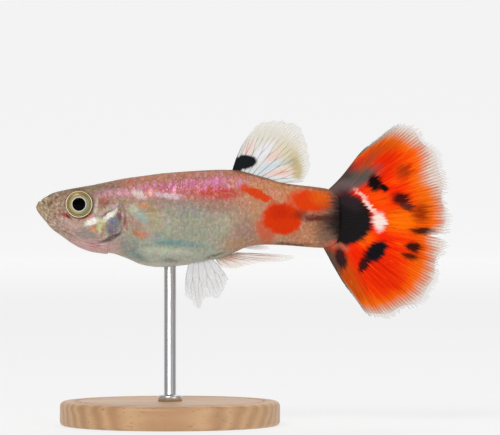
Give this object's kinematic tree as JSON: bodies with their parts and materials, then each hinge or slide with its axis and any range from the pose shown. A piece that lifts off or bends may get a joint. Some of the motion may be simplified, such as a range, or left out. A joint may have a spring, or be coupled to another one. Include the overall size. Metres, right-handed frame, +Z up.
{
  "type": "fancy guppy display model",
  "caption": "Male fancy guppy, life size, swimming level with its round fan tail spread, held by a short rod on a round wooden base.",
  "frame": {"origin": "centre of the whole model's outline on the floor, under the fish", "axes": "+Z up; the fish faces -X with its left side towards -Y; +X runs from snout to tail"},
  "size_m": [0.0415, 0.022, 0.0306],
  "materials": {
    "skin": "wet-looking scaled skin, tan and pale below with orange-red and violet patches",
    "eye": "clear and glossy, pale gold iris round a black pupil",
    "clear_fin": "thin see-through web between fine rays",
    "red_fin": "orange-red web with black spots between fine rays, clear at the edge",
    "stand_wood": "satin beech, turned",
    "stand_steel": "brushed"
  },
  "bodies": {
    "root": {"head": "skin", "lower_jaw": "skin", "gill_cover_left": "skin", "gill_cover_right": "skin", "trunk": "skin", "tail_stalk": "skin", "eye_left": "eye", "eye_right": "eye", "dorsal_fin": "clear_fin", "caudal_fin": "red_fin", "gonopodium": "clear_fin", "anal_fin": "clear_fin", "pelvic_fin_left": "clear_fin", "pelvic_fin_right": "clear_fin", "pectoral_fin_left": "clear_fin", "pectoral_fin_right": "clear_fin", "stand_base": "stand_wood", "stand_rod": "stand_steel"}
  },
  "joints": []
}
